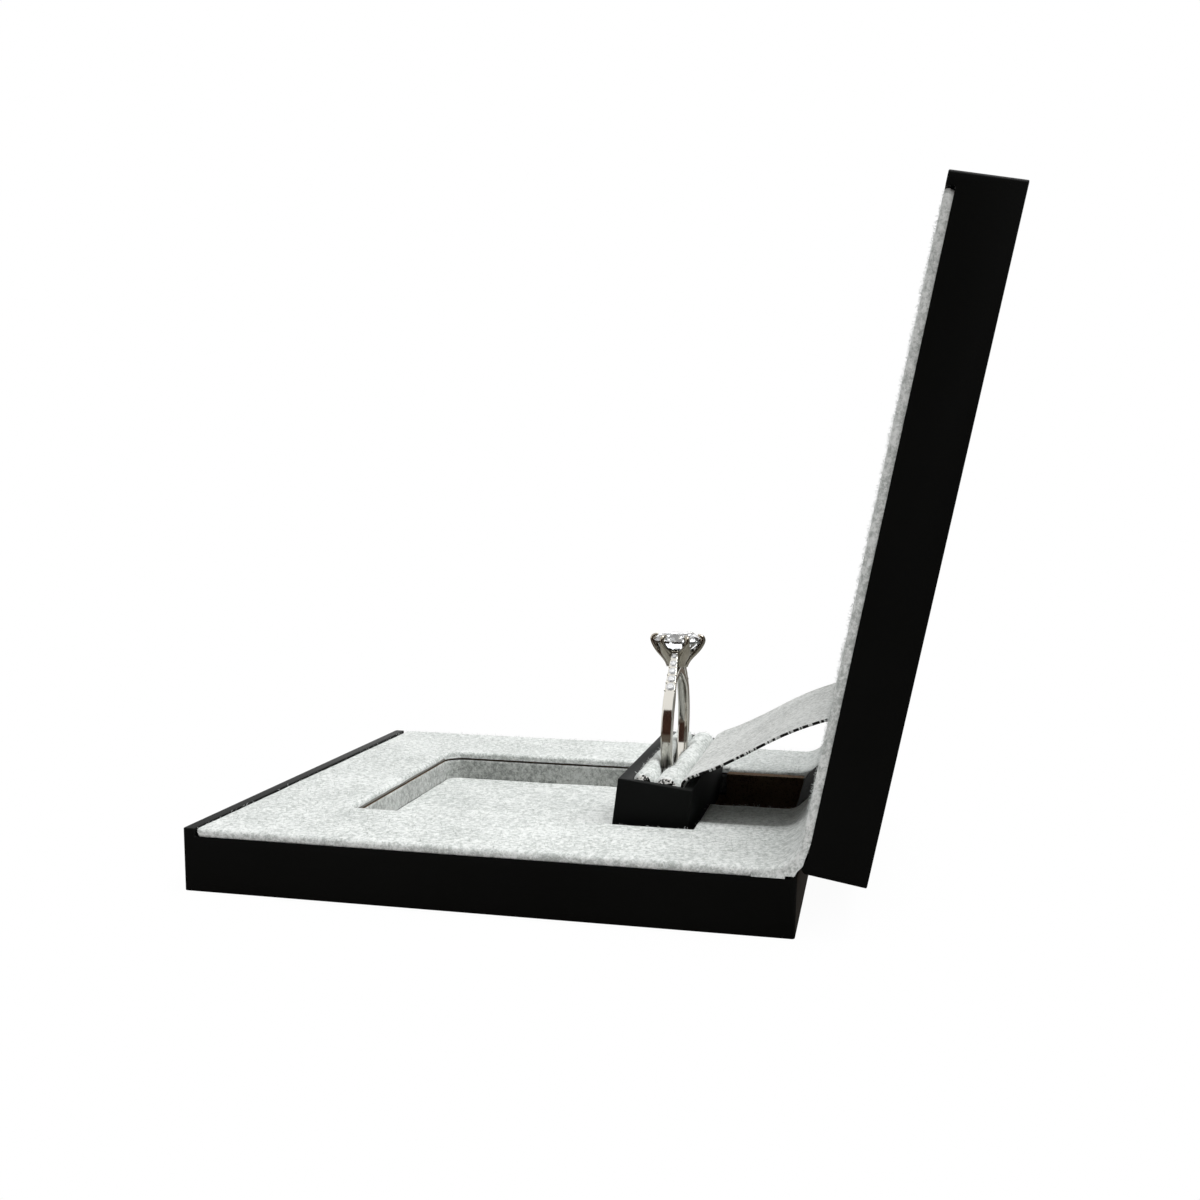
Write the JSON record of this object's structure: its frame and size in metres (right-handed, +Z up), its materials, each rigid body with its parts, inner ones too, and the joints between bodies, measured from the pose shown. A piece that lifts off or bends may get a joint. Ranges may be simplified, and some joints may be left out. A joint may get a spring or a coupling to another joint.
{
  "type": "ring display box",
  "caption": "Slim square ring box with felt pads; opening its hinged lid stands a pivoting ring holder up out of the pocket.",
  "frame": {"origin": "centre of the base's underside, on the surface that it rests on", "axes": "+Z up, +Y towards the hinge, +X to the right seen from the front lip; the lid stands open at rest"},
  "size_m": [0.084, 0.1065, 0.0915],
  "materials": {
    "soft_touch_black": "matte soft-touch",
    "black_foam": "matte closed-cell foam",
    "nickel": "nickel plated",
    "grey_board": "pressed card",
    "grey_felt": "short brushed nap",
    "steel": "pressed sheet steel",
    "grey_foam": "cut foam",
    "suede_grey": "fine suede",
    "white_gold": "polished",
    "clear_stone": "faceted"
  },
  "bodies": {
    "base": {"base_shell": "soft_touch_black", "base_insert": "black_foam", "base_magnets": "nickel", "base_pad_board": "grey_board", "base_pad_felt": "grey_felt", "pocket_floor_card": "grey_board", "pocket_floor_felt": "grey_felt", "pocket_wall_felt": "grey_felt", "well_flap_felt": "grey_felt", "base_hinge_leaf": "steel", "hinge_pin": "steel", "base_hinge_rivets": "steel", "hinge_lining": "grey_felt", "pivot_bracket": "steel", "bracket_rivets": "steel"},
    "lid": {"lid_shell": "soft_touch_black", "lid_insert": "black_foam", "lid_magnets": "nickel", "lid_pad_board": "grey_board", "lid_pad_felt": "grey_felt", "lid_pocket_felt": "grey_felt", "lid_pocket_wall_felt": "grey_felt", "lid_hinge_leaf": "steel", "lid_hinge_rivets": "steel", "strap_anchor": "grey_board", "pull_strap": "suede_grey"},
    "holder": {"holder_box": "soft_touch_black", "front_roll_foam": "grey_foam", "front_roll_felt": "grey_felt", "rear_roll_foam": "grey_foam", "rear_roll_felt": "grey_felt", "pivot_pins": "steel"},
    "ring": {"ring_band": "white_gold", "ring_setting": "white_gold", "centre_stone": "clear_stone", "shoulder_stones": "clear_stone"}
  },
  "joints": [
    {"name": "lid_hinge", "type": "hinge", "parent": "base", "child": "lid", "pos_m": [0, 0.0417, 0.009], "axis": [1, 0, 0], "range_deg": [0, 99.6], "deforming": ["pull_strap", "hinge_lining"]},
    {"name": "holder_pivot", "type": "hinge", "parent": "base", "child": "holder", "pos_m": [0, 0.0152, 0.00575], "axis": [1, 0, 0], "range_deg": [0, 92]},
    {"name": "ring_lift", "type": "slide", "parent": "holder", "child": "ring", "axis": [0, 0, 1], "range_m": [0, 0.0065]}
  ],
  "couplings": [
    {"joint": "holder_pivot", "follows": "lid_hinge", "ratio": 0.9237}
  ]
}
